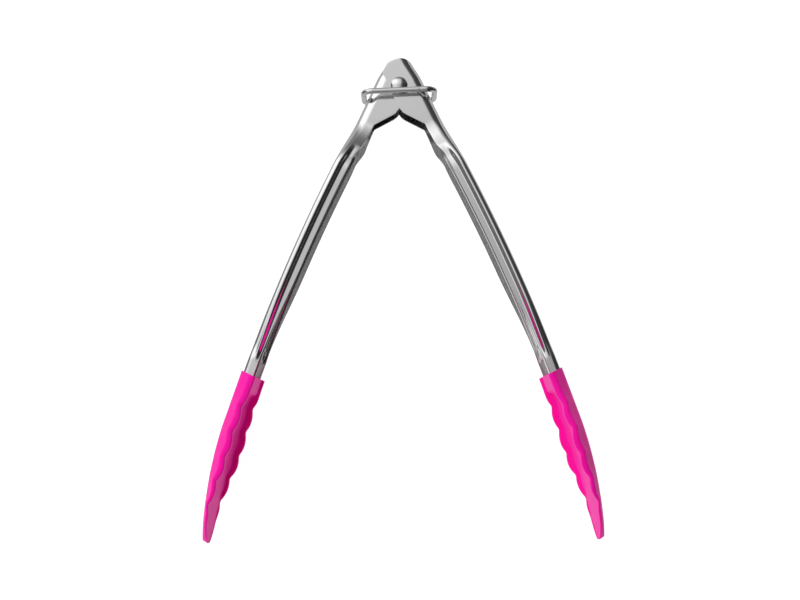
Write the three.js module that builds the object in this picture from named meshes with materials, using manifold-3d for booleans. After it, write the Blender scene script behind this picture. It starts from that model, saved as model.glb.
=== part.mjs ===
// Spring loaded kitchen tongs: two stamped steel arms with silicone scoop heads, riveted
// together at the top, pushed open by a torsion spring and held shut by a sliding wire ring.
//
// Units are millimetres. The tongs lie on their side, open: +Y runs from the tips to the
// pivot, +X to the right, +Z along the rivet, away from the surface they lie on.
//
// Each arm is drawn in its own frame with the pivot at the origin: u points outwards to the
// arm's back, "along" is the distance from the pivot towards the tip, and z is the width.

import * as THREE from 'three';
import { mergeVertices } from 'three/addons/utils/BufferGeometryUtils.js';
import Module from 'manifold-3d';

const wasm = await Module();
wasm.setup();

// ---- driving dimensions ----
const OPEN_ANGLE = THREE.MathUtils.degToRad(26.9); // each arm to the centre line, at rest
const TONGS_LENGTH = 217; // pivot to tip
const SHEET = 0.9;

const EAR_BACK = 10.8; // pivot to the outer face of an arm's back
const BACK_LEAN = 0.08; // slope with which the back leans in above the pivot
const BACK_TAPER = 0.035; // and below it, along the ears
const HANDLE_BOW_START = 41; // from here the handle bows inwards on this radius
const HANDLE_BOW_RADIUS = 800;
const HEAD_BOW_START = 163; // and the head, further, on this one
const HEAD_BOW_RADIUS = 330;
const EAR_TOP = 14; // the channel starts above the ears and is trimmed to their outline
const EAR_END = 20.8; // where the ears run out into the handle
const EAR_WALL = 7.9; // height of the side walls there
const OUTER_EARS = 6.0; // half width over the ears of the arm that goes outside
const INNER_EARS = 4.8; // and of the arm that goes between them
const EAR_CLEARANCE = 2.8; // from the inner ears to the flat of the outer arm's back

const HANDLE_START = 46; // where the handle has reached its full width
const HANDLE_HALF = 13.2; // half width of the handle
const HANDLE_WALL = 6.3; // height of its side walls
const NECK_WALL = 4.7; // and of those that enter the head
const EAR_BEND = 4.6; // bend between back and walls at the ears
const HANDLE_BEND = 2.2; // and along the handle
const RIB_START = 33; // each wall has a raised rib along the handle
const RIB_END = 139;
const RIB_RUN = 8; // length over which it rises and ends
const RIB_HEIGHT = 1.6;
const RIB_FLANK = 2.2; // width of one side of the rib
const RIB_LEAVES = 105; // from here on it runs away from the back
const RIB_END_CREST = 3; // to this distance, from the back to its crest
const RIB_END_FLANK = 1.6; // and gets narrower
const LEAST_EDGE = 0.05; // flat strip left between the rib and the wall's edge
const TONGUE_END = 150; // how far the steel reaches into the silicone

const CUFF = 144.5; // where the silicone head starts
const HEAD_CUFF_HALF = 17;
const HEAD_HALF = 21;
const NOSE_LENGTH = 42; // the elliptical end of the head
const SKIN = 1.15; // silicone outside the steel
const HEAD_WALL = 2.8;
const HEAD_SLOPE = 7.5; // how far a side leans in between its rim band and the back
const CUFF_SLOPE = 5.2; // less at the cuff, where the steel's corners are close
const SLOPE_RUN = 20; // length over which it changes
const RIM_BAND = 2.6; // upright strip of the side along the rim
const CUFF_FILL = 6.4; // thickness of the silicone over the steel tongue
const FILL_END = TONGUE_END + 1; // where it starts to drop to the scoop's floor
const SCOOP_START = 155; // and where it gets there
const RIM_HEIGHT = 7.6;
const TIP_HEIGHT = 3; // the rim comes down to this
const POCKET_GAP = 0.15; // between the steel tongue and its pocket
const SCALLOP_PITCH = 10.7;
const SCALLOP_DEPTH = 1.1;
const FIRST_VALLEY = 158.2;

const RIVET_RADIUS = 2;
const RIVET_HEAD_RADIUS = 3.8;
const RIVET_HEAD_HEIGHT = 2.2;
const BORE_RADIUS = 2.08;
const SLEEVE_RADIUS = 2.8;
const SLEEVE_HALF = 3.7;

const SPRING_WIRE = 0.6; // wire radius
const SPRING_RADIUS = 4.1;
const SPRING_TURNS = 3;
const SPRING_PITCH = 1.45;
const SPRING_LEG_END = 19;

const RING_WIRE = 1.25; // wire radius
const RING_HALF_X = 15.9; // wire centre
const RING_HALF_Z = 9;
const RING_CORNER = 4;
const RING_DROP = 3.1; // below the pivot
const RING_TILT = THREE.MathUtils.degToRad(1.7); // it hangs a little askew

// ---- materials ----
const finish = (name, color, metalness, roughness) => (
  new THREE.MeshStandardMaterial({ name, color, metalness, roughness }));
const steel = finish('polished_steel', 0xb9bbbd, 1, 0.18);
const springSteel = finish('spring_steel', 0x8d8f92, 1, 0.35);
const silicone = finish('silicone', 0xec008c, 0, 0.55);

// ---- small helpers ----
const { lerp, smoothstep } = THREE.MathUtils;
const ramp = (x, from, to, a, b) => lerp(a, b, smoothstep(x, from, to));
const steps = (from, to, count) => Array.from({ length: count + 1 }, (_, i) => lerp(from, to, i / count));

function geometryOf(positions, indices) {
  const geometry = new THREE.BufferGeometry();
  geometry.setAttribute('position', new THREE.Float32BufferAttribute(positions, 3));
  geometry.setIndex(indices);
  return geometry;
}

function toManifold(geometry) {
  const bare = geometry.clone();
  bare.deleteAttribute('normal');
  bare.deleteAttribute('uv');
  const merged = mergeVertices(bare, 1e-5);
  return new wasm.Manifold(new wasm.Mesh({
    numProp: 3,
    vertProperties: merged.attributes.position.array,
    triVerts: new Uint32Array(merged.index.array),
  }));
}

function fromManifold(solid) {
  const { vertProperties, triVerts } = solid.getMesh();
  return geometryOf(vertProperties, Array.from(triVerts));
}

const joined = (a, b) => fromManifold(toManifold(a).add(toManifold(b)));
const cut = (a, ...tools) => fromManifold(
  tools.reduce((solid, tool) => solid.subtract(toManifold(tool)), toManifold(a)));
const common = (a, b) => fromManifold(toManifold(a).intersect(toManifold(b)));

// A cylinder along Z.
function rod(radius, zLow, zHigh, sides = 24) {
  return new THREE.CylinderGeometry(radius, radius, zHigh - zLow, sides)
    .rotateX(Math.PI / 2)
    .translate(0, 0, (zLow + zHigh) / 2);
}

// A closed solid through sheet sections. Each section has an outer and an inner line of
// [z, u] points, equal in number, and stands at its own distance along the arm.
function loft(alongs, sectionAt) {
  const positions = [];
  const indices = [];
  const quad = (a, b, c, d) => indices.push(a, c, b, a, d, c);
  let size = 0;
  for (const along of alongs) {
    const { outer, inner } = sectionAt(along);
    const loop = [...outer, ...inner.toReversed()];
    size = loop.length;
    for (const [z, u] of loop) positions.push(u, -along, z);
  }
  for (let row = 0; row + 1 < alongs.length; row += 1) {
    for (let i = 0; i < size; i += 1) {
      const next = (i + 1) % size;
      quad(row * size + i, (row + 1) * size + i, (row + 1) * size + next, row * size + next);
    }
  }
  const last = (alongs.length - 1) * size;
  for (let i = 0; i + 1 < size / 2; i += 1) {
    const far = size - 1 - i;
    quad(i, i + 1, far - 1, far);
    quad(last + i, last + far, last + far - 1, last + i + 1);
  }
  return geometryOf(positions, indices);
}

// Both halves of a section from its right half, which runs outwards from the middle.
function mirrored(half) {
  const left = half.slice(1).map(([z, u]) => [-z, u]).reverse();
  return [...left, ...half];
}

// ---- the arm ----
// The back leans in above the pivot and a little along the ears, bends inwards on a large
// radius along the handle and, in the head, on a smaller one.
const sag = (past, radius) => (past > 0 ? (past * past) / (2 * radius) : 0);
function backLine(along) {
  const lean = BACK_LEAN * Math.max(-along, 0);
  const taper = BACK_TAPER * THREE.MathUtils.clamp(along, 0, HANDLE_BOW_START);
  const bow = sag(along - HANDLE_BOW_START, HANDLE_BOW_RADIUS);
  return EAR_BACK - lean - taper - bow - sag(along - HEAD_BOW_START, HEAD_BOW_RADIUS);
}

// Height of the side wall, from the back to its free edge. The ears are left too high here
// and are trimmed to their outline.
function wallHeight(along) {
  if (along < EAR_END) return EAR_BACK + 7;
  const handle = ramp(along, 31, 39, EAR_WALL, HANDLE_WALL);
  return handle - ramp(along, 93, 135, 0, HANDLE_WALL - NECK_WALL);
}

const armHalfWidth = (along, ears) => ramp(along, EAR_END, HANDLE_START, ears, HANDLE_HALF);

// How far the rest of the wall lies below the rib's crest.
function ribHeight(along) {
  const risen = smoothstep(along, RIB_START, RIB_START + RIB_RUN);
  return RIB_HEIGHT * (risen - smoothstep(along, RIB_END - RIB_RUN, RIB_END));
}

// One half of the sheet's section: back, bend, and a wall whose rib follows the bend and
// slopes down to a flat edge strip. The inner face is the outer one moved in by the sheet's
// thickness. "down" is the distance from the back towards the wall's edge.
function armSection(along, ears) {
  const bend = ramp(along, EAR_END, HANDLE_START, EAR_BEND, HANDLE_BEND);
  const crest = ramp(along, RIB_LEAVES, RIB_END, bend, RIB_END_CREST);
  const width = ramp(along, RIB_LEAVES, RIB_END, RIB_FLANK, RIB_END_FLANK);
  const rib = ribHeight(along);
  const back = backLine(along);
  const half = armHalfWidth(along, ears);
  const flank = (down) => THREE.MathUtils.clamp((down - crest) / width, -1, 1) * Math.PI;
  const side = (down) => half - (rib * (1 - Math.cos(flank(down)))) / 2;
  const slope = (down) => (-rib * Math.PI * Math.sin(flank(down))) / (2 * width);

  const outer = [];
  const inner = [];
  const point = (z, u, heading) => {
    outer.push([z, u]);
    inner.push([z - SHEET * Math.sin(heading), u - SHEET * Math.cos(heading)]);
  };
  point(0, back, 0);
  for (const heading of steps(0, Math.PI / 2, 3)) {
    const z = side(bend) - bend * (1 - Math.sin(heading));
    point(z, back - bend * (1 - Math.cos(heading)), heading);
  }
  const foot = Math.max(crest, bend) + width;
  const edge = Math.max(wallHeight(along), foot + LEAST_EDGE);
  for (const down of [...steps(bend, foot, 5).slice(1), edge]) {
    point(side(down), back - down, Math.atan2(1, slope(down)));
  }
  return { outer: mirrored(outer), inner: mirrored(inner) };
}

// Side view of what the stamping keeps: the ears, and all that is below them.
function armOutline() {
  const [u, v, radius] = [2.8, 3.1, 8.66]; // the rounded top
  const shape = new THREE.Shape();
  shape.moveTo(40, -TONGS_LENGTH);
  shape.lineTo(40, v);
  shape.lineTo(u + radius, v);
  shape.absarc(u, v, radius, 0, 0.745 * Math.PI);
  shape.quadraticCurveTo(-3.7, 8.8, -3.85, 7.3);
  shape.lineTo(-4.7, -9.2);
  shape.quadraticCurveTo(-4.75, -11, -3.65, -12.55);
  shape.lineTo(backLine(EAR_END) - EAR_WALL, -EAR_END);
  shape.lineTo(-40, -EAR_END);
  shape.lineTo(-40, -TONGS_LENGTH);
  const thick = 2 * HANDLE_HALF + 10;
  return new THREE.ExtrudeGeometry(shape, { depth: thick, bevelEnabled: false, curveSegments: 10 })
    .translate(0, 0, -thick / 2);
}

// The corner that the inner ears lose, to turn clear of the outer arm's back.
function earClearance() {
  return new THREE.BoxGeometry(30, 10, 2 * HANDLE_HALF)
    .translate(0, 5 + EAR_BACK - SHEET - EAR_CLEARANCE, 0)
    .rotateZ(Math.PI / 2 - 2 * OPEN_ANGLE - Math.atan(BACK_LEAN));
}

function armGeometry(ears) {
  const alongs = [
    -EAR_TOP, 0, EAR_END - 1, EAR_END, ...steps(EAR_END, RIB_START, 4).slice(1),
    ...steps(RIB_START, RIB_START + RIB_RUN, 5).slice(1), HANDLE_START,
    ...steps(HANDLE_START, RIB_END - RIB_RUN, 7).slice(1),
    ...steps(RIB_END - RIB_RUN, RIB_END, 4).slice(1), CUFF, TONGUE_END,
  ];
  const sheet = loft(alongs, (along) => armSection(along, ears));
  const trimmed = common(sheet, armOutline());
  return cut(trimmed, rod(BORE_RADIUS, -HANDLE_HALF, HANDLE_HALF));
}

// ---- the silicone head ----
function headHalfWidth(along) {
  const past = along - (TONGS_LENGTH - NOSE_LENGTH);
  const side = ramp(along, CUFF, TONGS_LENGTH - NOSE_LENGTH, HEAD_CUFF_HALF, HEAD_HALF);
  return past > 0 ? side * Math.sqrt(1 - (past / NOSE_LENGTH) ** 2) : side;
}

// Each lobe between two valleys is a shallow arch.
function scallop(along) {
  const phase = (along - FIRST_VALLEY) / SCALLOP_PITCH;
  const fromCrest = 2 * (phase - Math.floor(phase)) - 1;
  const depth = SCALLOP_DEPTH * (1 - smoothstep(along, 200, 214));
  return along < FIRST_VALLEY - SCALLOP_PITCH / 2 ? 0 : depth * fromCrest ** 2;
}

function rimHeight(along) {
  const crest = ramp(along, 176, 212, RIM_HEIGHT, TIP_HEIGHT);
  return Math.max(crest - scallop(along), TIP_HEIGHT);
}

// The sides lean in towards the back, below an upright band along the rim. Around the
// steel tongue the head is filled, and past it the scoop begins.
function headSection(along) {
  const halfWidth = headHalfWidth(along);
  const back = backLine(along) + SKIN;
  const height = rimHeight(along);
  const filled = 1 - smoothstep(along, FILL_END, SCOOP_START);
  const floor = Math.min(lerp(HEAD_WALL, CUFF_FILL, filled), height - 0.25);
  const wall = Math.min(HEAD_WALL, halfWidth * 0.4);
  const lean = ramp(along, CUFF, CUFF + SLOPE_RUN, CUFF_SLOPE, HEAD_SLOPE);
  const slope = Math.min(lean, halfWidth * 0.45);
  const band = Math.min(RIM_BAND, height * 0.35);
  const rim = back - height;
  const outer = [
    [0, back], [halfWidth - slope - 1, back], [halfWidth - slope, back - 0.3],
    [halfWidth, rim + band], [halfWidth, rim],
  ];
  const innerHalf = halfWidth - wall;
  const inner = [
    [0, back - floor], [(innerHalf - slope) * 0.6, back - floor], [innerHalf - slope, back - floor],
    [innerHalf, Math.min(rim + band, back - floor)], [innerHalf, rim],
  ];
  return { outer: mirrored(outer), inner: mirrored(inner) };
}

// The pocket that the steel tongue fills.
function pocketSection(along) {
  const { outer, inner } = armSection(along, OUTER_EARS);
  const grow = (line, side) => line.map(([z, u], i) => {
    const [z0, u0] = line[Math.max(i - 1, 0)];
    const [z1, u1] = line[Math.min(i + 1, line.length - 1)];
    const length = Math.hypot(z1 - z0, u1 - u0);
    const end = i === 0 || i === line.length - 1 ? POCKET_GAP : 0;
    return [
      z - (side * POCKET_GAP * (u1 - u0)) / length,
      u + (side * POCKET_GAP * (z1 - z0)) / length - end,
    ];
  });
  return { outer: grow(outer, 1), inner: grow(inner, -1) };
}

function headGeometry() {
  const valleys = steps(FIRST_VALLEY, FIRST_VALLEY + 4 * SCALLOP_PITCH, 16);
  const lastValley = valleys[valleys.length - 1];
  const nose = steps(0, Math.PI / 2 - 0.09, 6).map((a) => lerp(lastValley, TONGS_LENGTH, Math.sin(a)));
  const alongs = [CUFF, ...steps(FILL_END, FIRST_VALLEY, 4).slice(0, -1), ...valleys, ...nose.slice(1)];
  const skin = loft(alongs, headSection);
  const pocket = loft([CUFF - 0.01, TONGUE_END + POCKET_GAP], pocketSection);
  return cut(skin, pocket);
}

// ---- the pivot ----
function domedHead(zFace, side) {
  const rise = steps(0, Math.PI / 2, 4).map((a) => new THREE.Vector2(
    RIVET_HEAD_RADIUS * Math.cos(a), 0.5 + (RIVET_HEAD_HEIGHT - 0.5) * Math.sin(a)));
  rise[rise.length - 1].x = 0;
  const profile = [new THREE.Vector2(0, 0), new THREE.Vector2(RIVET_HEAD_RADIUS, 0), ...rise];
  return new THREE.LatheGeometry(profile, 24)
    .rotateX((side * Math.PI) / 2)
    .translate(0, 0, side * zFace);
}

function rivetGeometry() {
  const face = OUTER_EARS + 0.1;
  const shank = rod(RIVET_RADIUS, -face - 0.3, face + 0.3);
  return joined(joined(shank, domedHead(face, 1)), domedHead(face, -1));
}

// The coil's legs lie along the inside of each arm's back and push the arms apart.
function springGeometry() {
  const half = (SPRING_TURNS * SPRING_PITCH) / 2;
  const restLeg = (side) => {
    const z = side * half;
    const legU = backLine(SPRING_LEG_END) - SHEET - SPRING_WIRE - 1.1;
    return [[SPRING_RADIUS + 1.2, 5], [legU - 0.6, 11], [legU, SPRING_LEG_END]].map(([u, along]) => (
      new THREE.Vector3(side * u, -along, z)
        .applyAxisAngle(new THREE.Vector3(0, 0, 1), side * OPEN_ANGLE)));
  };
  // The coil starts and ends where the legs leave it, at the arms' angle.
  const coil = steps(0, 1, 16 * SPRING_TURNS).map((t) => {
    const angle = lerp(Math.PI - OPEN_ANGLE, OPEN_ANGLE + 2 * Math.PI * SPRING_TURNS, t);
    return new THREE.Vector3(
      SPRING_RADIUS * Math.cos(angle), SPRING_RADIUS * Math.sin(angle), lerp(-half, half, t));
  });
  const path = new THREE.CatmullRomCurve3([...restLeg(-1).reverse(), ...coil, ...restLeg(1)]);
  const wire = new THREE.Shape().absarc(0, 0, SPRING_WIRE, 0, 2 * Math.PI);
  return new THREE.ExtrudeGeometry(wire, {
    extrudePath: path, steps: 66, curveSegments: 4, bevelEnabled: false,
  });
}

// ---- the lock ring ----
// A wire bent to a rounded rectangle and welded, so it has no ends.
function ringGeometry() {
  const middle = [];
  const corners = [[1, 1, 0], [-1, 1, 1], [-1, -1, 2], [1, -1, 3]];
  for (const [sx, sz, quarter] of corners) {
    for (const a of steps(quarter * Math.PI / 2, (quarter + 1) * Math.PI / 2, 5)) {
      middle.push({
        x: sx * (RING_HALF_X - RING_CORNER) + RING_CORNER * Math.cos(a),
        z: sz * (RING_HALF_Z - RING_CORNER) + RING_CORNER * Math.sin(a),
        a,
      });
    }
  }
  const sides = 10;
  const positions = [];
  const indices = [];
  middle.forEach(({ x, z, a }, row) => {
    const nextRow = (row + 1) % middle.length;
    for (let i = 0; i < sides; i += 1) {
      const turn = (2 * Math.PI * i) / sides;
      const out = RING_WIRE * Math.cos(turn);
      positions.push(x + out * Math.cos(a), RING_WIRE * Math.sin(turn), z + out * Math.sin(a));
      const next = (i + 1) % sides;
      const [p, q, r, s] = [row * sides + i, row * sides + next, nextRow * sides + next, nextRow * sides + i];
      indices.push(p, q, r, p, r, s);
    }
  });
  return geometryOf(positions, indices).rotateZ(RING_TILT).translate(0, -RING_DROP, 0);
}

// ---- assembly ----
const tongs = new THREE.Group();
function add(name, geometry, material) {
  const mesh = new THREE.Mesh(geometry, material);
  mesh.name = name;
  tongs.add(mesh);
}

// Puts a right-hand piece at its place at rest. The left one is the right one turned over.
const onRight = (geometry) => geometry.rotateZ(OPEN_ANGLE);
const onLeft = (geometry) => onRight(geometry).rotateY(Math.PI);

add('arm_right', onRight(armGeometry(OUTER_EARS)), steel);
add('arm_left', onLeft(cut(armGeometry(INNER_EARS), earClearance())), steel);
add('head_right', onRight(headGeometry()), silicone);
add('head_left', onLeft(headGeometry()), silicone);
add('pivot_rivet', rivetGeometry(), steel);
add('pivot_sleeve', cut(rod(SLEEVE_RADIUS, -SLEEVE_HALF, SLEEVE_HALF),
  rod(BORE_RADIUS, -SLEEVE_HALF - 1, SLEEVE_HALF + 1)), steel);
add('torsion_spring', springGeometry(), springSteel);
add('lock_ring', ringGeometry(), steel);

// The origin is the middle of the underside.
const box = new THREE.Box3().setFromObject(tongs);
const middle = box.getCenter(new THREE.Vector3());
for (const mesh of tongs.children) mesh.geometry.translate(-middle.x, -middle.y, -box.min.z);

export default tongs;
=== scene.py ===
"""The looks of the spring loaded kitchen tongs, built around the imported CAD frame.

The steel arms, silicone heads, rivet, spring and lock ring are drawn again here as finer
meshes than the CAD's, at the CAD's places and sizes. Lengths are in millimetres until a
mesh is made; Blender's own are metres.

Each arm has its own frame with the pivot at the origin: u points outwards to the arm's
back, "along" is the distance from the pivot towards the tip, and z is the width.
"""

import math

import bpy
import bmesh
from mathutils import Matrix, Vector


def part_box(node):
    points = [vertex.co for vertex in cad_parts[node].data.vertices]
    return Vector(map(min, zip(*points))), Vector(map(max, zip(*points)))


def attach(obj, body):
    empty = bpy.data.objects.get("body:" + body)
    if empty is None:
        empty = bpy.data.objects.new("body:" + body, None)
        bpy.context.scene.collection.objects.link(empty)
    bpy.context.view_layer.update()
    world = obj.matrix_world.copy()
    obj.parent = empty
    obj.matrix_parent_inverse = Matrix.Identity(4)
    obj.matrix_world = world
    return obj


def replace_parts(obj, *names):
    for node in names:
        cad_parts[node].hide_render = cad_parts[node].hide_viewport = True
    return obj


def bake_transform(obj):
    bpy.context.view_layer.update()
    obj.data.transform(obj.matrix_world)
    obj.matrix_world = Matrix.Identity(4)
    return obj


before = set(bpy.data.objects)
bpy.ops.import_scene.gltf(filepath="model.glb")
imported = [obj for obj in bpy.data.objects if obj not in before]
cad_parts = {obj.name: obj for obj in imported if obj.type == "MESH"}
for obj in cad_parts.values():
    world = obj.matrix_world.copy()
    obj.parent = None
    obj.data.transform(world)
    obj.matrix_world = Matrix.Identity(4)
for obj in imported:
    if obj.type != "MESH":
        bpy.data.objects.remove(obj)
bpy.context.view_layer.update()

MM = 0.001
OPEN_ANGLE = math.radians(26.9)  # each arm to the centre line, at rest
TONGS_LENGTH = 217.0  # pivot to tip
SHEET = 0.9

EAR_BACK = 10.8  # pivot to the outer face of an arm's back
BACK_LEAN = 0.08  # slope with which the back leans in above the pivot
BACK_TAPER = 0.035  # and below it, along the ears
HANDLE_BOW_START = 41.0  # from here the handle bows inwards on this radius
HANDLE_BOW_RADIUS = 800.0
HEAD_BOW_START = 163.0  # and the head, further, on this one
HEAD_BOW_RADIUS = 330.0

EAR_END = 20.8  # where the ears run out into the handle
EAR_WALL = 7.9  # height of the side walls there
OUTER_EARS = 6.0  # half width over the ears of the arm that goes outside
INNER_EARS = 4.8  # and of the arm that goes between them
EAR_CLEARANCE = 2.8  # from the inner ears to the flat of the outer arm's back
EAR_TOP_CENTRE = (2.8, 3.1)  # (u, v) of the ears' rounded top, with v up from the pivot
EAR_TOP_RADIUS = 8.64
EAR_TOP_LEAST = 0.1  # the top is at least this much above the shoulder
# Height over the pivot where the ears' rounded top begins. It is lower on the inner ears,
# which lose a corner there to turn clear of the outer arm's back.
SHOULDERS = {OUTER_EARS: 7.3, INNER_EARS: 5.6}
EAR_EDGE = -3.85  # the ears' inner edge, at the outer ears' shoulder
EAR_EDGE_SLOPE = 0.049  # of its nearly straight part
EAR_SLANT_SLOPE = 0.704  # of its slanted part
EAR_EDGE_ROUNDING = 1.6  # how close the two parts come before they blend

HANDLE_START = 46.0  # where the handle has reached its full width
HANDLE_HALF = 13.2  # half width of the handle
HANDLE_WALL = 6.3  # height of its side walls
WALL_DROP = (31.0, 39.0)  # where they come down to it
NECK_WALL = 4.7  # height of the walls that enter the head
NECK_TAPER = (93.0, 135.0)  # where they come down to that
EAR_BEND = 4.6  # bend between back and walls at the ears
HANDLE_BEND = 2.2  # and along the handle
RIB_START = 33.0  # each wall has a raised rib along the handle
RIB_END = 139.0
RIB_RUN = 8.0  # length over which it rises and ends
RIB_HEIGHT = 1.6
RIB_FLANK = 2.2  # width of one side of the rib
RIB_LEAVES = 105.0  # from here on it runs away from the back
RIB_END_CREST = 3.0  # to this distance, from the back to its crest
RIB_END_FLANK = 1.6  # and gets narrower
LEAST_EDGE = 0.05  # flat strip left between the rib and the wall's edge
TONGUE_END = 150.0  # how far the steel reaches into the silicone

CUFF = 144.5  # where the silicone head starts
HEAD_CUFF_HALF = 17.0
HEAD_HALF = 20.98  # the CAD's 21, less a little so that the head stays inside it
NOSE_LENGTH = 42.0  # the elliptical end of the head
SKIN = 1.15  # silicone outside the steel
HEAD_WALL = 2.8
HEAD_SLOPE = 7.5  # how far a side leans in between its rim band and the scoop's floor
CUFF_SLOPE = 5.2  # less at the cuff, where the steel's corners are close
SLOPE_RUN = 20.0  # length over which it changes
BACK_SLOPE = 0.4  # how much further a side leans in on its outside
RIM_BAND = 2.6  # upright strip of the side along the rim
CUFF_FILL = 6.4  # thickness of the silicone over the steel tongue
FILL_END = TONGUE_END + 1  # where it starts to drop to the scoop's floor
SCOOP_START = 155.0  # and where it gets there
SCOOP_LEAST = 0.25  # the scoop stays at least this deep
RIM_HEIGHT = 7.6
TIP_HEIGHT = 3.0  # the rim comes down to this
RIM_FALL = (176.0, 212.0)  # where it does
TIP_TRIM = 0.1  # the finer mesh ends this much earlier than the CAD's
TIP_ANGLE = 0.05  # its last section is this far round from the nose's very end, in radians
# In the nose a section gets narrow and low, and its parts get no more than these shares of it.
WALL_SHARE = 0.4
SLOPE_SHARE = 0.45
BAND_SHARE = 0.35

SCALLOP_PITCH = 10.7
SCALLOP_DEPTH = 1.1
FIRST_VALLEY = 158.2
LAST_VALLEY = FIRST_VALLEY + 4 * SCALLOP_PITCH
SCALLOP_FADE = (200.0, 214.0)  # where the scallops die out
VALLEY_ROUNDING = 0.2  # share of a scallop's half pitch, next to a valley, that is rounded
VALLEY_DEPTH = 1.2 * SCALLOP_DEPTH  # to the corner that the rounding takes off

RIVET_RADIUS = 2.0
RIVET_HEAD_RADIUS = 3.8
RIVET_HEAD_HEIGHT = 2.2
RIVET_HEAD_RIM = 0.5  # height of the head's upright rim
RIVET_HEAD_RELIEF = 0.15  # how much smaller the head is on the side of the ear
RIVET_HEAD_GAP = 0.1  # between the head and the ear
DOME_START = 0.02  # the dome's first ring of points is this far round from its top, in radians
BORE_RADIUS = 2.08
SLEEVE_RADIUS = 2.8
SLEEVE_HALF = 3.7

SPRING_WIRE = 0.6  # wire radius
SPRING_RADIUS = 4.1
SPRING_TURNS = 3
SPRING_PITCH = 1.45
SPRING_LEG_END = 19.0
SPRING_LEG_GAP = 1.1  # between a leg and the arm's back

RING_WIRE = 1.25  # wire radius
RING_HALF_X = 15.9  # wire centre
RING_HALF_Z = 9.0
RING_CORNER = 4.0
RING_DROP = 3.1  # below the pivot
RING_TILT = math.radians(1.7)  # it hangs a little askew
WELD_X = 9.5  # the ends of the wire are welded together here, on the front run
WELD_HALF = 0.9  # half the length of the groove that the weld leaves
WELD_DEPTH = 0.06  # as a share of the wire's radius

# The rivet's middle is the pivot that everything is placed from.
rivet_low, rivet_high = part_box("pivot_rivet")
PIVOT = (Vector(rivet_low) + Vector(rivet_high)) / 2


# ---- numbers ----
def lerp(a, b, t):
    return a + (b - a) * t


def smoothstep(x, low, high):
    t = min(max((x - low) / (high - low), 0.0), 1.0)
    return t * t * (3 - 2 * t)


def ramp(x, low, high, a, b):
    return lerp(a, b, smoothstep(x, low, high))


def steps(start, end, count):
    return [lerp(start, end, i / count) for i in range(count + 1)]


# ---- the arm's and the head's lines, as in the CAD ----
def sag(past, radius):
    return past * past / (2 * radius) if past > 0 else 0.0


def back_line(along):
    lean = BACK_LEAN * max(-along, 0)
    taper = BACK_TAPER * min(max(along, 0), HANDLE_BOW_START)
    bow = sag(along - HANDLE_BOW_START, HANDLE_BOW_RADIUS)
    return EAR_BACK - lean - taper - bow - sag(along - HEAD_BOW_START, HEAD_BOW_RADIUS)


def wall_height(along):
    handle = ramp(along, *WALL_DROP, EAR_WALL, HANDLE_WALL)
    return handle - ramp(along, *NECK_TAPER, 0, HANDLE_WALL - NECK_WALL)


def arm_half_width(along, ears):
    return ramp(along, EAR_END, HANDLE_START, ears, HANDLE_HALF)


def rib_height(along):
    """How far the rest of the wall lies below the rib's crest."""
    risen = smoothstep(along, RIB_START, RIB_START + RIB_RUN)
    return RIB_HEIGHT * (risen - smoothstep(along, RIB_END - RIB_RUN, RIB_END))


def head_half_width(along):
    past = along - (TONGS_LENGTH - NOSE_LENGTH)
    side = ramp(along, CUFF, TONGS_LENGTH - NOSE_LENGTH, HEAD_CUFF_HALF, HEAD_HALF)
    return side * math.sqrt(max(1 - (past / NOSE_LENGTH) ** 2, 0)) if past > 0 else side


def scallop(along):
    """Shallow arches between valleys that are rounded at the bottom."""
    if along < FIRST_VALLEY - SCALLOP_PITCH / 2:
        return 0.0
    phase = (along - FIRST_VALLEY) / SCALLOP_PITCH
    from_crest = abs(2 * (phase - math.floor(phase)) - 1)
    in_valley = max(from_crest - (1 - VALLEY_ROUNDING), 0)
    arch = from_crest**2 - in_valley**2 / VALLEY_ROUNDING
    return VALLEY_DEPTH * arch * (1 - smoothstep(along, *SCALLOP_FADE))


def rim_height(along):
    crests = ramp(along, *RIM_FALL, RIM_HEIGHT, TIP_HEIGHT)
    return max(crests - scallop(along), TIP_HEIGHT)


# ---- meshes ----
def make_object(name, vertices, faces, material, place=Matrix()):
    """A piece from points in millimetres about the pivot."""
    mesh = bpy.data.meshes.new(name)
    mesh.from_pydata([PIVOT + (place @ Vector(v)) * MM for v in vertices], [], faces)
    mesh.materials.append(material)
    piece = bpy.data.objects.new(name, mesh)
    bpy.context.collection.objects.link(piece)
    tidy = bmesh.new()
    tidy.from_mesh(mesh)
    bmesh.ops.remove_doubles(tidy, verts=tidy.verts, dist=1e-6)
    bmesh.ops.recalc_face_normals(tidy, faces=tidy.faces)
    tidy.to_mesh(mesh)
    tidy.free()
    mesh.shade_smooth()
    return piece


def grid_faces(rows, columns, wrap_rows=False, wrap_columns=False):
    faces = []
    for row in range(rows if wrap_rows else rows - 1):
        for column in range(columns if wrap_columns else columns - 1):
            a = row * columns + column
            b = row * columns + (column + 1) % columns
            below = ((row + 1) % rows) * columns
            faces.append((a, b, below + (column + 1) % columns, below + column))
    return faces


def tube(name, points, radii, material, sides=20, closed=False):
    """A round wire along a path of points, of one radius or of one at each point."""
    count = len(points)
    if not isinstance(radii, list):
        radii = [radii] * count
    vertices = []
    normal = None
    for i, (point, radius) in enumerate(zip(points, radii)):
        if closed:
            ahead = points[(i + 1) % count] - points[i - 1]
        else:
            ahead = points[min(i + 1, count - 1)] - points[max(i - 1, 0)]
        tangent = ahead.normalized()
        start = normal or tangent.orthogonal()
        normal = (start - tangent * start.dot(tangent)).normalized()
        across = tangent.cross(normal)
        for k in range(sides):
            a = 2 * math.pi * k / sides
            vertices.append(point + (normal * math.cos(a) + across * math.sin(a)) * radius)
    faces = grid_faces(count, sides, wrap_rows=closed, wrap_columns=True)
    if not closed:
        faces.append(tuple(reversed(range(sides))))
        faces.append(tuple(range((count - 1) * sides, count * sides)))
    return make_object(name, vertices, faces, material)


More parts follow.
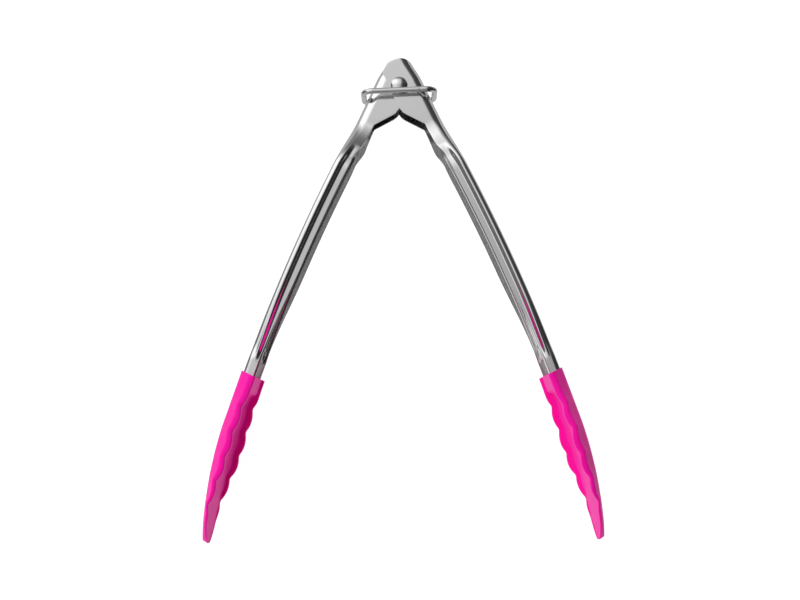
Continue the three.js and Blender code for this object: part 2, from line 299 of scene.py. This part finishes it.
def lathe(name, profile, material, closed=False, sides=96):
    """A solid of revolution about the rivet's axis, from (radius, z) points off the axis.

    A closed profile makes a tube; an open one is capped at both ends."""
    vertices = []
    for radius, z in profile:
        for k in range(sides):
            a = 2 * math.pi * k / sides
            vertices.append((radius * math.cos(a), radius * math.sin(a), z))
    faces = grid_faces(len(profile), sides, wrap_rows=closed, wrap_columns=True)
    if not closed:
        faces.append(tuple(reversed(range(sides))))
        faces.append(tuple(range((len(profile) - 1) * sides, len(profile) * sides)))
    return make_object(name, vertices, faces, material)


def soften_edges(piece, width, angle=35):
    """Rounds the sharp edges a little, so that they catch the light."""
    bevel = piece.modifiers.new("edges", "BEVEL")
    bevel.width = width * MM
    bevel.segments = 3
    bevel.limit_method = "ANGLE"
    bevel.angle_limit = math.radians(angle)
    piece.modifiers.new("normals", "WEIGHTED_NORMAL")


# ---- materials ----
def new_material(name):
    material = bpy.data.materials.new(name)
    material.use_nodes = True
    nodes = material.node_tree.nodes
    shader = nodes["Principled BSDF"]
    return material, nodes, material.node_tree.links, shader


def noise(nodes, links, scale, detail):
    """Noise in object space."""
    coordinates = nodes.new("ShaderNodeTexCoord")
    texture = nodes.new("ShaderNodeTexNoise")
    texture.inputs["Scale"].default_value = scale
    texture.inputs["Detail"].default_value = detail
    links.new(coordinates.outputs["Object"], texture.inputs["Vector"])
    return texture.outputs["Fac"]


def spread(nodes, links, value, low, high):
    """Maps noise from 0.3..0.7 to low..high."""
    scale = nodes.new("ShaderNodeMapRange")
    scale.inputs["From Min"].default_value = 0.3
    scale.inputs["From Max"].default_value = 0.7
    scale.inputs["To Min"].default_value = low
    scale.inputs["To Max"].default_value = high
    links.new(value, scale.inputs["Value"])
    return scale.outputs["Result"]


def add_bump(nodes, links, shader, heights, distance):
    """Bumps in turn, each (noise, strength)."""
    normal = None
    for value, strength in heights:
        bump = nodes.new("ShaderNodeBump")
        bump.inputs["Strength"].default_value = strength
        bump.inputs["Distance"].default_value = distance
        links.new(value, bump.inputs["Height"])
        if normal:
            links.new(normal, bump.inputs["Normal"])
        normal = bump.outputs["Normal"]
    links.new(normal, shader.inputs["Normal"])


def mix_colours(nodes, links, value, shader, low, high):
    """Lets the base colour go from one colour to another with a noise."""
    mix = nodes.new("ShaderNodeMix")
    mix.data_type = "RGBA"
    mix.inputs["A"].default_value = (*low, 1)
    mix.inputs["B"].default_value = (*high, 1)
    links.new(value, mix.inputs["Factor"])
    links.new(mix.outputs["Result"], shader.inputs["Base Color"])


def steel_material(name, tone, roughness, wave):
    """Stainless steel: slight cloudiness in the polish, and a fine grain."""
    material, nodes, links, shader = new_material(name)
    shader.inputs["Metallic"].default_value = 1.0
    cloud = noise(nodes, links, scale=45, detail=3)
    grain = noise(nodes, links, scale=900, detail=4)
    dark = (tone * 0.96, tone * 0.96, tone * 0.965)
    light = (tone * 1.03, tone * 1.03, tone * 1.035)
    mix_colours(nodes, links, cloud, shader, dark, light)
    links.new(spread(nodes, links, grain, roughness * 0.8, roughness * 1.25),
              shader.inputs["Roughness"])
    add_bump(nodes, links, shader, [(cloud, wave), (grain, 0.03)], 0.0002)
    return material


def silicone_material():
    """Moulded silicone: strong pink, satin, with a very fine matt grain."""
    material, nodes, links, shader = new_material("silicone_pink")
    tint = noise(nodes, links, scale=60, detail=3)
    grain = noise(nodes, links, scale=2600, detail=2)
    mix_colours(nodes, links, tint, shader, (0.84, 0.0, 0.33), (0.90, 0.0, 0.37))
    links.new(spread(nodes, links, tint, 0.55, 0.62), shader.inputs["Roughness"])
    shader.inputs["Subsurface Weight"].default_value = 0.15
    shader.inputs["Subsurface Radius"].default_value = (1.0, 0.2, 0.35)
    shader.inputs["Subsurface Scale"].default_value = 0.002
    shader.inputs["Specular IOR Level"].default_value = 0.2
    shader.inputs["Sheen Weight"].default_value = 0.08
    shader.inputs["Sheen Roughness"].default_value = 0.4
    add_bump(nodes, links, shader, [(tint, 0.05), (grain, 0.06)], 0.0003)
    return material


polished_steel = steel_material("polished_steel", tone=0.78, roughness=0.13, wave=0.03)
rivet_steel = steel_material("rivet_steel", tone=0.78, roughness=0.12, wave=0.02)
ring_steel = steel_material("ring_steel", tone=0.78, roughness=0.14, wave=0.02)
spring_steel = steel_material("spring_steel", tone=0.5, roughness=0.3, wave=0.02)
silicone = silicone_material()


# ---- the arms ----
# How finely the sheet is divided: across half of it, from the middle of the back ...
FLAT_STEPS = 8
BEND_STEPS = 16
RIB_STEPS = 24
EDGE_STEPS = 4
# ... and along it: up the ears' top, down the ears, and down to the end of each stretch.
EAR_TOP_STEPS = 8
EAR_STEPS = 40
STRETCHES = [(RIB_START, 12), (RIB_START + RIB_RUN, 24), (RIB_END - RIB_RUN, 46),
             (RIB_END, 24), (TONGUE_END, 6)]


def ear_top(u, ears):
    """Height over the pivot of the ears' rounded top."""
    centre_u, centre_v = EAR_TOP_CENTRE
    top = centre_v + math.sqrt(max(EAR_TOP_RADIUS**2 - (u - centre_u) ** 2, 0))
    if ears == OUTER_EARS:
        return top
    facing = math.pi - 2 * OPEN_ANGLE - math.atan(BACK_LEAN)
    reach = EAR_BACK - SHEET - EAR_CLEARANCE
    return min(top, (reach - u * math.cos(facing)) / math.sin(facing))


def ear_edge(v):
    """The ears' inner edge: nearly straight past the pivot, then slanted to the handle."""
    straight = EAR_EDGE + EAR_EDGE_SLOPE * (v - SHOULDERS[OUTER_EARS])
    slanted = back_line(EAR_END) - EAR_WALL - EAR_SLANT_SLOPE * (v + EAR_END)
    closeness = max(EAR_EDGE_ROUNDING - abs(slanted - straight), 0)
    return max(straight, slanted) + closeness**2 / (4 * EAR_EDGE_ROUNDING)


def arm_line(along, ears):
    """Half of the outer face's section: (u, z) points from the middle of the back, round the
    bend, over the wall's rib and along its flat edge strip."""
    bend = ramp(along, EAR_END, HANDLE_START, EAR_BEND, HANDLE_BEND)
    crest = ramp(along, RIB_LEAVES, RIB_END, bend, RIB_END_CREST)
    width = ramp(along, RIB_LEAVES, RIB_END, RIB_FLANK, RIB_END_FLANK)
    rib = rib_height(along)
    back = back_line(along)
    half = arm_half_width(along, ears)

    def side(down):
        flank = min(max((down - crest) / width, -1.0), 1.0) * math.pi
        return half - rib * (1 - math.cos(flank)) / 2

    points = [(back, (side(bend) - bend) * s) for s in steps(0, 1, FLAT_STEPS)]
    for heading in steps(0, math.pi / 2, BEND_STEPS)[1:]:
        points.append((back - bend * (1 - math.cos(heading)),
                       side(bend) - bend * (1 - math.sin(heading))))
    foot = max(crest, bend) + width
    edge = max(wall_height(along), foot + LEAST_EDGE)
    for down in steps(bend, foot, RIB_STEPS)[1:] + steps(foot, edge, EDGE_STEPS)[1:]:
        points.append((back - down, side(down)))
    return points


def ear_line(v, ears):
    """The same points at a level of the ears: back and bend, then flat to the ear's edge."""
    section = arm_line(EAR_END, ears)
    lean = back_line(-v) - back_line(EAR_END)
    bent = FLAT_STEPS + BEND_STEPS
    line = [(u + lean, z) for u, z in section[: bent + 1]]
    flat = steps(line[-1][0], ear_edge(v), RIB_STEPS + EDGE_STEPS)
    return line + [(u, ears) for u in flat[1:]]


def arm_rows(ears):
    """Rows of (u, v, z) over the sheet's outer face, from the ears' top to the tongue."""
    rows = []
    shoulder = SHOULDERS[ears]
    level = ear_line(shoulder, ears)
    tops = [max(ear_top(u, ears), shoulder + EAR_TOP_LEAST) for u, z in level]
    for share in steps(1, 0, EAR_TOP_STEPS)[:-1]:
        rows.append([(u, lerp(shoulder, top, share), z) for (u, z), top in zip(level, tops)])
    for v in steps(shoulder, -EAR_END, EAR_STEPS):
        rows.append([(u, v, z) for u, z in ear_line(v, ears)])
    start = EAR_END
    for end, count in STRETCHES:
        for along in steps(start, end, count)[1:]:
            rows.append([(u, -along, z) for u, z in arm_line(along, ears)])
        start = end
    return rows


def make_arm(name, ears, body, place):
    """One stamped sheet: a grid of points on its outer face, given its thickness after."""
    rows = arm_rows(ears)
    vertices = []
    for row in rows:
        vertices += [(u, v, -z) for u, v, z in reversed(row[1:])] + row
    faces = grid_faces(len(rows), 2 * len(rows[0]) - 1)
    arm = make_object(name, vertices, faces, polished_steel, place)
    thickness = arm.modifiers.new("sheet", "SOLIDIFY")
    thickness.thickness = SHEET * MM
    thickness.offset = -1
    thickness.use_even_offset = True
    soften_edges(arm, 0.18, angle=50)
    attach(arm, body)
    return arm


turned = Matrix.Rotation(OPEN_ANGLE, 4, "Z")
turned_over = Matrix.Rotation(math.pi, 4, "Y") @ turned
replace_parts(make_arm("arm_outer", OUTER_EARS, "right", turned), "arm_right")
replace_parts(make_arm("arm_inner", INNER_EARS, "left", turned_over), "arm_left")


# ---- the silicone heads ----
HEAD_ROWS = 170  # sections of a head down to its last valley
NOSE_ROWS = 40  # and from there to the tip
CORNER_STEPS = 6
MOST_CUT = 0.48  # share of a stretch between two corners that one of them may take


def soft_line(corners):
    """A line from the first to the last of the corners, both (z, u). Those between, which are
    (z, u, cut), are rounded off over the length cut."""
    line = [Vector(corners[0][:2])]
    for before, corner, after in zip(corners, corners[1:], corners[2:]):
        here = Vector(corner[:2])
        back = Vector(before[:2]) - here
        ahead = Vector(after[:2]) - here
        back *= min(corner[2] / max(back.length, 1e-6), MOST_CUT)
        ahead *= min(corner[2] / max(ahead.length, 1e-6), MOST_CUT)
        line += [here + back * (1 - t) ** 2 + ahead * t**2 for t in steps(0, 1, CORNER_STEPS)]
    return line + [Vector(corners[-1][:2])]


def head_lines(along):
    """Half of a head's section: the outer line and the scoop's, which meet on the rim."""
    half = head_half_width(along)
    back = back_line(along) + SKIN
    height = rim_height(along)
    filled = 1 - smoothstep(along, FILL_END, SCOOP_START)
    floor = back - min(lerp(HEAD_WALL, CUFF_FILL, filled), height - SCOOP_LEAST)
    wall = min(HEAD_WALL, half * WALL_SHARE)
    leaning = ramp(along, CUFF, CUFF + SLOPE_RUN, CUFF_SLOPE, HEAD_SLOPE)
    slope = min(leaning, half * SLOPE_SHARE)
    rim = back - height
    band_top = rim + min(RIM_BAND, height * BAND_SHARE)
    inside = half - wall
    ridge = (half - wall / 2, rim)
    outer = [(0, back), (half - slope - BACK_SLOPE, back, 2.2), (half, band_top, 0.9),
             (half, rim, 0.9), ridge]
    inner = [(0, floor), (inside - slope, floor, 2.5), (inside, min(band_top, floor), 1.2),
             (inside, rim, 0.5), ridge]
    return soft_line(outer), soft_line(inner)


def make_head(name, body, place):
    alongs = steps(CUFF, LAST_VALLEY, HEAD_ROWS)
    for a in steps(0, math.pi / 2 - TIP_ANGLE, NOSE_ROWS)[1:]:
        alongs.append(lerp(LAST_VALLEY, TONGS_LENGTH - TIP_TRIM, math.sin(a)))
    vertices = []
    for along in alongs:
        outer, inner = head_lines(along)
        right = outer + inner[::-1]
        left = [Vector((-z, u)) for z, u in right[1:-1]]
        vertices += [(u, -along, z) for z, u in right + left[::-1]]
    ring = len(vertices) // len(alongs)
    faces = grid_faces(len(alongs), ring, wrap_columns=True)
    # Both ends are closed from the outer line across to the scoop's.
    across = ring // 2
    for start in (0, (len(alongs) - 1) * ring):
        for i in range(across // 2):
            a, b = i, i + 1
            far_a, far_b = across - i, across - i - 1
            faces.append((start + a, start + b, start + far_b, start + far_a))
            mirror = [(ring - k) % ring for k in (a, far_a, far_b, b)]
            faces.append(tuple(start + k for k in mirror))
    head = make_object(name, vertices, faces, silicone, place)
    soften_edges(head, 0.5, angle=55)
    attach(head, body)
    return head


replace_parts(make_head("head_outer_arm", "right", turned), "head_right")
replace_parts(make_head("head_inner_arm", "left", turned_over), "head_left")


# ---- the pivot ----
def rivet_profile():
    """Two domed heads with a shank between them, as (radius, z) from end to end."""
    face = OUTER_EARS + RIVET_HEAD_GAP
    rise = RIVET_HEAD_HEIGHT - RIVET_HEAD_RIM
    dome = []
    for a in steps(math.pi / 2 - DOME_START, 0, 24):
        dome.append((RIVET_HEAD_RADIUS * math.cos(a), RIVET_HEAD_RIM + rise * math.sin(a)))
    dome.append((RIVET_HEAD_RADIUS - RIVET_HEAD_RELIEF, 0.0))
    upper = [(radius, face + height) for radius, height in dome] + [(RIVET_RADIUS, face)]
    return upper + [(radius, -z) for radius, z in reversed(upper)]


def add_pivot_piece(name, profile, node, edge, closed=False):
    piece = lathe(name, profile, rivet_steel, closed)
    soften_edges(piece, edge)
    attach(piece, "pivot")
    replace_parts(piece, node)


add_pivot_piece("rivet", rivet_profile(), "pivot_rivet", 0.08)
add_pivot_piece("spacer_sleeve", [
    (BORE_RADIUS, SLEEVE_HALF), (SLEEVE_RADIUS, SLEEVE_HALF),
    (SLEEVE_RADIUS, -SLEEVE_HALF), (BORE_RADIUS, -SLEEVE_HALF),
], "pivot_sleeve", 0.12, closed=True)


COIL_STEPS = 90  # along half of the coil
LEG_STEPS = 6  # along each stretch of a leg


def spring_half(side):
    """Half of the coil and the leg along one arm's back, from the middle outwards."""
    half = SPRING_TURNS * SPRING_PITCH / 2
    first = math.pi - OPEN_ANGLE
    last = OPEN_ANGLE + 2 * math.pi * SPRING_TURNS
    points = []
    for t in steps(0.5, 1 if side > 0 else 0, COIL_STEPS):
        angle = lerp(first, last, t)
        points.append(Vector((SPRING_RADIUS * math.cos(angle), SPRING_RADIUS * math.sin(angle),
                              lerp(-half, half, t))))
    leg = back_line(SPRING_LEG_END) - SHEET - SPRING_WIRE - SPRING_LEG_GAP
    # The leg's bends as (u, along): it leaves the coil and swings out to the back.
    bends = [(SPRING_RADIUS, 0), (SPRING_RADIUS + 1.2, 5),
             (leg - 0.6, 11), (leg, SPRING_LEG_END)]
    turn = Matrix.Rotation(side * OPEN_ANGLE, 4, "Z")
    for (u0, a0), (u1, a1) in zip(bends, bends[1:]):
        for s in steps(0, 1, LEG_STEPS)[1:]:
            u, along = lerp(u0, u1, s), lerp(a0, a1, s)
            points.append(turn @ Vector((side * u, -along, side * half)))
    return points


for side, body in ((1, "right"), (-1, "left")):
    wire = tube(f"spring_{body}_half", spring_half(side), SPRING_WIRE, spring_steel, sides=12)
    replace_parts(wire, "torsion_spring")
    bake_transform(wire)


# ---- the lock ring ----
RING_STEP = 0.5  # between points on the ring's straight runs


def ring_path():
    """A rounded rectangle as (x, z) points, from one corner to the next."""
    corners = []
    for sx, sz, quarter in ((1, 1, 0), (-1, 1, 1), (-1, -1, 2), (1, -1, 3)):
        for a in steps(quarter * math.pi / 2, (quarter + 1) * math.pi / 2, 12):
            corners.append((sx * (RING_HALF_X - RING_CORNER) + RING_CORNER * math.cos(a),
                            sz * (RING_HALF_Z - RING_CORNER) + RING_CORNER * math.sin(a)))
    path = []
    for (x, z), (x1, z1) in zip(corners, corners[1:] + corners[:1]):
        count = max(1, round(math.hypot(x1 - x, z1 - z) / RING_STEP))
        path += [(lerp(x, x1, k / count), lerp(z, z1, k / count)) for k in range(count)]
    return path


def weld_radius(x, z):
    """The wire's radius, less the groove of the weld on the front run."""
    if z < 0:
        return RING_WIRE
    return RING_WIRE * (1 - WELD_DEPTH * (1 - smoothstep(abs(x - WELD_X), 0, WELD_HALF)))


hang = Matrix.Translation((0, -RING_DROP, 0)) @ Matrix.Rotation(RING_TILT, 4, "Z")
path = ring_path()
ring = tube("wire_ring", [hang @ Vector((x, 0, z)) for x, z in path],
            [weld_radius(x, z) for x, z in path], ring_steel, sides=24, closed=True)
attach(ring, "ring")
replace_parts(ring, "lock_ring")


# ---- camera ----
# It stands over a point between the heads and leans a little towards the pivot.
CAMERA_FROM_PIVOT = Vector((-0.0005, -0.1585, 0.487))
CAMERA_TILT = math.radians(7.3)
CAMERA_ROLL = math.radians(-0.555)
camera_data = bpy.data.cameras.new("camera")
camera_data.lens = 50
camera_data.sensor_width = 36
camera_data.clip_start = 0.01
camera = bpy.data.objects.new("camera", camera_data)
bpy.context.collection.objects.link(camera)
camera.matrix_world = (Matrix.Translation(PIVOT + CAMERA_FROM_PIVOT)
                       @ Matrix.Rotation(CAMERA_TILT, 4, "X")
                       @ Matrix.Rotation(CAMERA_ROLL, 4, "Z"))
bpy.context.scene.camera = camera
bpy.context.scene.view_settings.view_transform = "Standard"


# ---- studio ----
def add_area(name, location, size, power):
    """A soft box that looks at the middle of the tongs. It only lights them: the steel would
    show it as a hard white patch, so it mirrors the room of studio_world instead."""
    data = bpy.data.lights.new(name, "AREA")
    data.shape = "RECTANGLE"
    data.size, data.size_y = size
    data.energy = power
    light = bpy.data.objects.new(name, data)
    bpy.context.collection.objects.link(light)
    light.location = location
    light.visible_glossy = False
    light.rotation_euler = (-Vector(location)).to_track_quat("-Z", "Y").to_euler()


def studio_floor():
    """A white floor, lit mostly from within so that the shadows on it stay pale. The steel
    mirrors the ground of studio_world instead, whose dark edges show up the steel's own."""
    mesh = bpy.data.meshes.new("floor")
    reach = 3.0
    corners = [(-reach, -reach, 0), (reach, -reach, 0), (reach, reach, 0), (-reach, reach, 0)]
    mesh.from_pydata(corners, [], [(0, 1, 2, 3)])
    floor = bpy.data.objects.new("floor", mesh)
    floor.visible_glossy = False
    bpy.context.collection.objects.link(floor)
    material, nodes, links, shader = new_material("pale_floor")
    shader.inputs["Base Color"].default_value = (0.35, 0.35, 0.35, 1)
    shader.inputs["Roughness"].default_value = 1.0
    shader.inputs["Specular IOR Level"].default_value = 0.0
    shader.inputs["Emission Color"].default_value = (1, 1, 1, 1)
    shader.inputs["Emission Strength"].default_value = 0.92
    mesh.materials.append(material)


def room_bands(nodes, links, axis, levels):
    """Brightness along one axis of the room, from (place, level) with places from 0 to 1."""
    scale = nodes.new("ShaderNodeMapRange")
    scale.inputs["From Min"].default_value = -1
    scale.inputs["From Max"].default_value = 1
    links.new(axis, scale.inputs["Value"])
    bands = nodes.new("ShaderNodeValToRGB")
    links.new(scale.outputs["Result"], bands.inputs["Fac"])
    stops = bands.color_ramp.elements
    while len(stops) < len(levels):
        stops.new(0.5)
    for stop, (place, level) in zip(stops, levels):
        stop.position = place
        stop.color = (level, level, level, 1)
    return bands.outputs["Color"]


def studio_world():
    """The room that the steel mirrors. Above the horizon it goes from left to right through
    a dark line, a white wall, an even grey ceiling and black, and gets lighter to the back;
    below the horizon it is a grey floor with dark edges."""
    world = bpy.data.worlds.new("studio")
    bpy.context.scene.world = world
    world.use_nodes = True
    nodes, links = world.node_tree.nodes, world.node_tree.links
    coordinates = nodes.new("ShaderNodeTexCoord")
    separate = nodes.new("ShaderNodeSeparateXYZ")
    links.new(coordinates.outputs["Generated"], separate.inputs["Vector"])
    across = room_bands(nodes, links, separate.outputs["X"], [
        (0.0, 0.12), (0.05, 0.17), (0.12, 0.85), (0.38, 0.8), (0.47, 0.55),
        (0.54, 0.52), (0.6, 0.3), (0.68, 0.05), (1.0, 0.02)])
    along = room_bands(nodes, links, separate.outputs["Y"], [
        (0.0, 0.25), (0.2, 0.5), (0.36, 1.0), (0.6, 1.0),
        (0.72, 1.6), (0.88, 1.6), (0.97, 0.4)])
    ceiling = nodes.new("ShaderNodeVectorMath")
    ceiling.operation = "MULTIPLY"
    links.new(across, ceiling.inputs[0])
    links.new(along, ceiling.inputs[1])
    ground = room_bands(nodes, links, separate.outputs["X"], [
        (0.0, 0.12), (0.06, 0.12), (0.1, 0.5), (0.9, 0.5), (0.94, 0.05), (1.0, 0.05)])
    above = room_bands(nodes, links, separate.outputs["Z"], [(0.49, 0.0), (0.51, 1.0)])
    both = nodes.new("ShaderNodeMix")
    both.data_type = "RGBA"
    links.new(above, both.inputs["Factor"])
    links.new(ground, both.inputs["A"])
    links.new(ceiling.outputs["Vector"], both.inputs["B"])
    background = nodes["Background"]
    links.new(both.outputs["Result"], background.inputs["Color"])
    background.inputs["Strength"].default_value = 1.0


studio_floor()
studio_world()
for name, y in (("key", 0.9), ("fill", -0.9)):
    add_area(name, location=(-0.5, y, 1.1), size=(1.3, 1.1), power=8)
